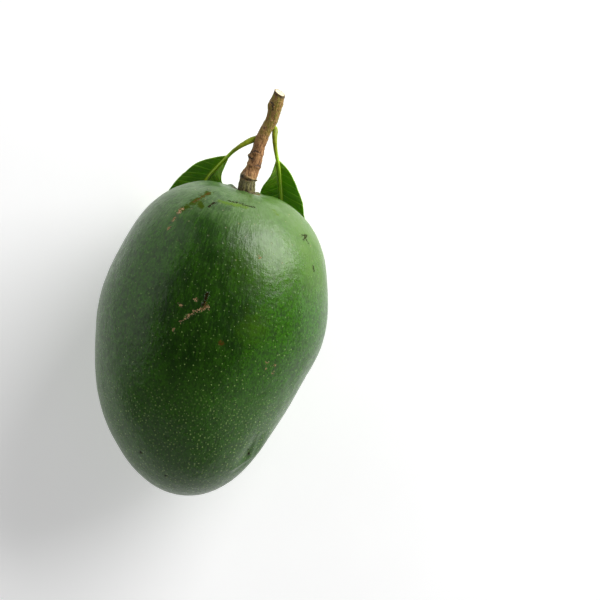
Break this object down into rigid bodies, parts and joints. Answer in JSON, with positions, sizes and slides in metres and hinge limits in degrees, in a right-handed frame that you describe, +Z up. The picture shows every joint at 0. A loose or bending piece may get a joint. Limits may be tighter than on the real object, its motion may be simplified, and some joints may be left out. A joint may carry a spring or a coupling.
{
  "type": "mango",
  "caption": "Green mango with a low beak on one side, lying on its cheek, with a woody stem and leaves that drop beneath it.",
  "frame": {"origin": "middle of the small flat spot on the fruit's cheek that it rests on, under its centre of mass", "axes": "+Z up, +Y along the fruit towards its stem, +X towards the side with the beak"},
  "size_m": [0.0864, 0.1581, 0.0767],
  "materials": {
    "skin": "satin",
    "bark": "matte",
    "leaf": "satin"
  },
  "bodies": {
    "root": {"fruit": "skin", "stem": "bark", "leaf_left": "leaf", "leaf_right": "leaf"}
  },
  "joints": []
}
